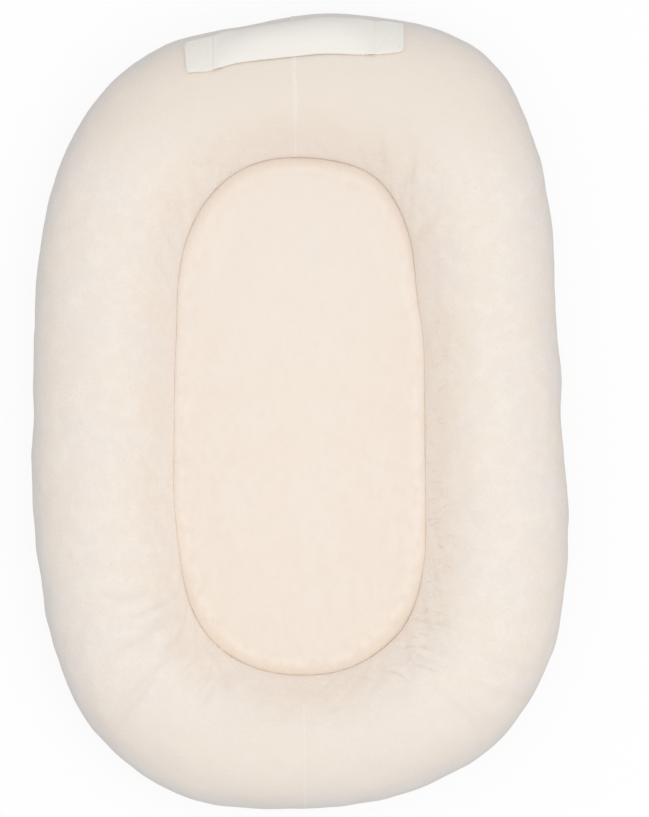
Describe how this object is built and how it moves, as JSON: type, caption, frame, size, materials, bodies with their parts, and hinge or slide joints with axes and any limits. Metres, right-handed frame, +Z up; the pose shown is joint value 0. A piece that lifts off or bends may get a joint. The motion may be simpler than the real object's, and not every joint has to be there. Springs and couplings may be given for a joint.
{
  "type": "infant lounger",
  "caption": "Oval infant lounger: a stuffed plush ring round a padded sleep surface, with a webbing carry handle over the head end and a zip underneath.",
  "frame": {"origin": "on the floor under the middle of the lounger's outline", "axes": "+Y towards the head end with the handle, +Z up, +X to the right seen from above with the head up"},
  "size_m": [0.5012, 0.742, 0.1244],
  "materials": {
    "plush": "short soft pile, matt, cream",
    "velour": "smooth velour, matt, warm cream",
    "base_cloth": "plain woven cotton, matt",
    "casing_cotton": "plain woven cotton, matt",
    "fibre_filling": "loose polyester fibre",
    "pad_foam": "soft open foam",
    "webbing": "twill webbing, matt off-white",
    "thread": "sewing thread, slight sheen",
    "zip_tape": "woven tape, matt",
    "zip_nylon": "nylon coil, satin",
    "zip_metal": "plated zinc, satin"
  },
  "bodies": {
    "root": {"ring_cover_left": "plush", "ring_cover_right": "plush", "head_seam_ridge": "plush", "foot_seam_ridge": "plush", "centre_panel": "velour", "base_panel_left": "base_cloth", "base_panel_right": "base_cloth", "bolster_casing": "casing_cotton", "bolster_fill": "fibre_filling", "pad_casing": "casing_cotton", "pad_core": "pad_foam", "handle_end_left": "webbing", "handle_end_right": "webbing", "handle_stitching_left": "thread", "handle_stitching_right": "thread", "zip_tape_left": "zip_tape", "zip_tape_right": "zip_tape", "zip_teeth_left": "zip_nylon", "zip_teeth_right": "zip_nylon", "zip_top_stop_left": "zip_metal", "zip_top_stop_right": "zip_metal", "zip_bottom_stop": "zip_metal"},
    "handle": {"handle_span": "webbing"},
    "slider": {"zip_slider": "zip_metal"},
    "pull_tab": {"zip_pull_tab": "zip_metal"}
  },
  "joints": [
    {"name": "handle_lift", "type": "slide", "parent": "root", "child": "handle", "axis": [0, 0.6402, 0.7682], "range_m": [0, 0.018]},
    {"name": "zip_slide", "type": "slide", "parent": "root", "child": "slider", "axis": [0, 1, 0], "range_m": [0, 0.4105]},
    {"name": "pull_tab_hinge", "type": "hinge", "parent": "slider", "child": "pull_tab", "pos_m": [-0.00059, -0.2102, 0.00525], "axis": [-1, 0, 0], "range_deg": [0, 180]}
  ]
}
